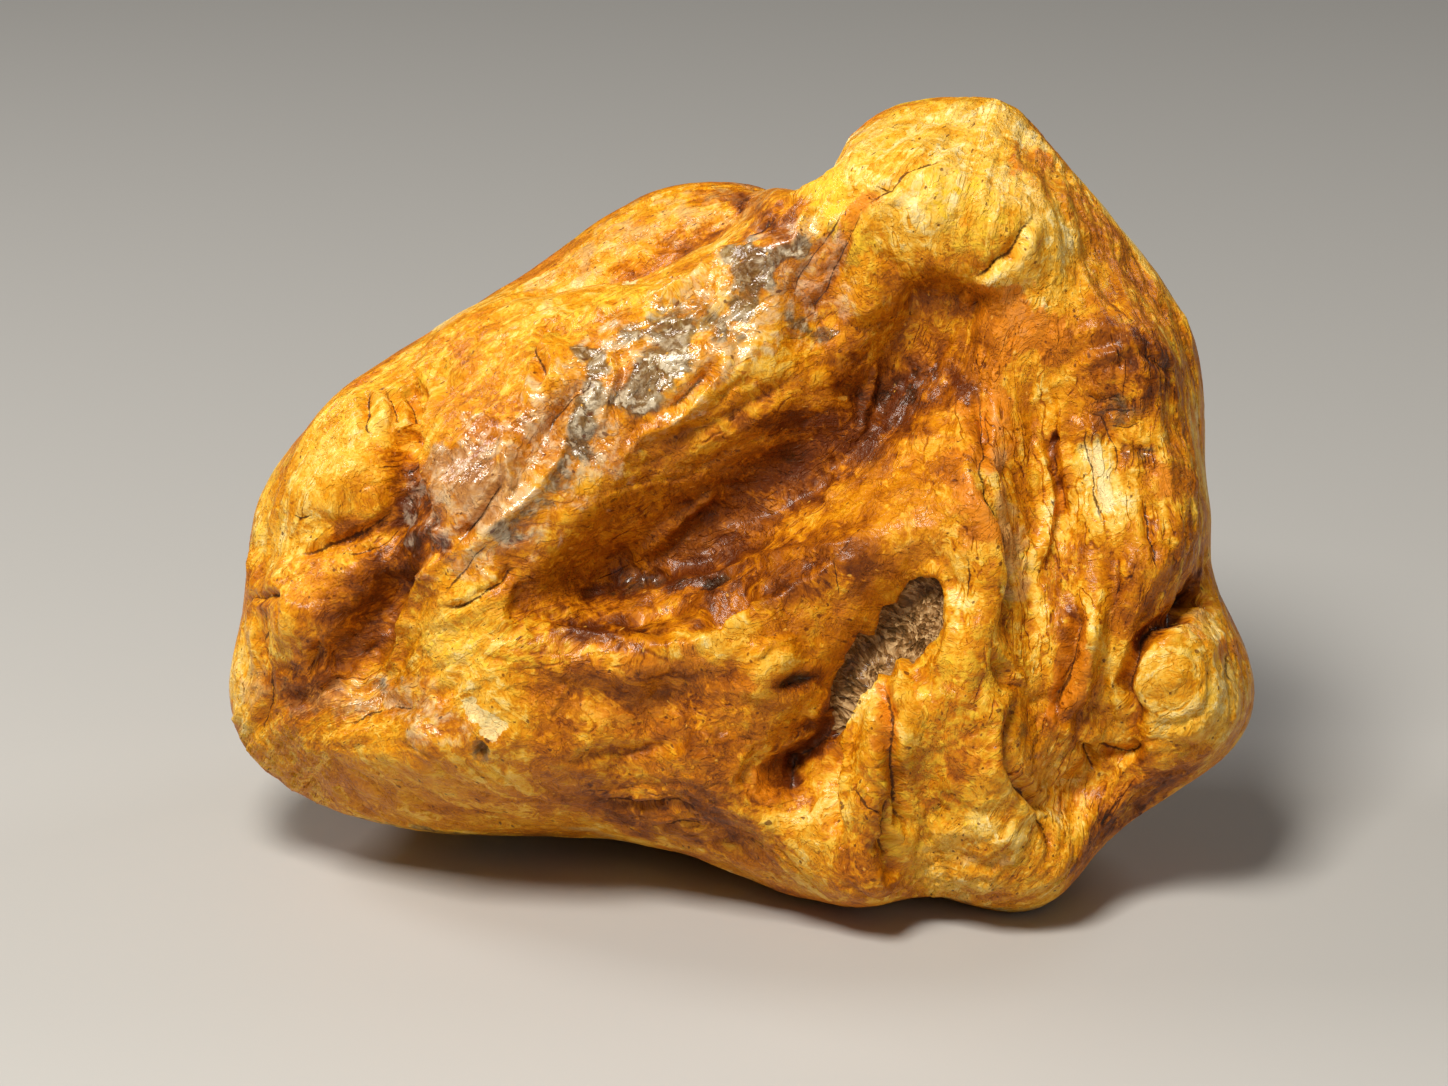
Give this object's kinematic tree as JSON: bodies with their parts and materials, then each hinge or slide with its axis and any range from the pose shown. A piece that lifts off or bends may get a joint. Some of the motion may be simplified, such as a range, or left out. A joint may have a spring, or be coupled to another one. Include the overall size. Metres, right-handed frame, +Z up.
{
  "type": "petrified wood",
  "caption": "Water-worn lump of honey-amber petrified wood with a burred head, a deep glossy hollow and a fluted trunk side, standing on its worn feet.",
  "frame": {"origin": "on the surface that the stone stands on, under the middle of its bounding box", "axes": "+Z up as it stands, +X to the right of a viewer who faces the broad glossy face, -Y from the stone towards that viewer"},
  "size_m": [0.1504, 0.0934, 0.1118],
  "materials": {
    "petrified_wood": "polished honey-amber silica with fine fibres, rust and brown stains, dark pores and grey crystal in its pocket"
  },
  "bodies": {
    "root": {"petrified_wood": "petrified_wood"}
  },
  "joints": []
}
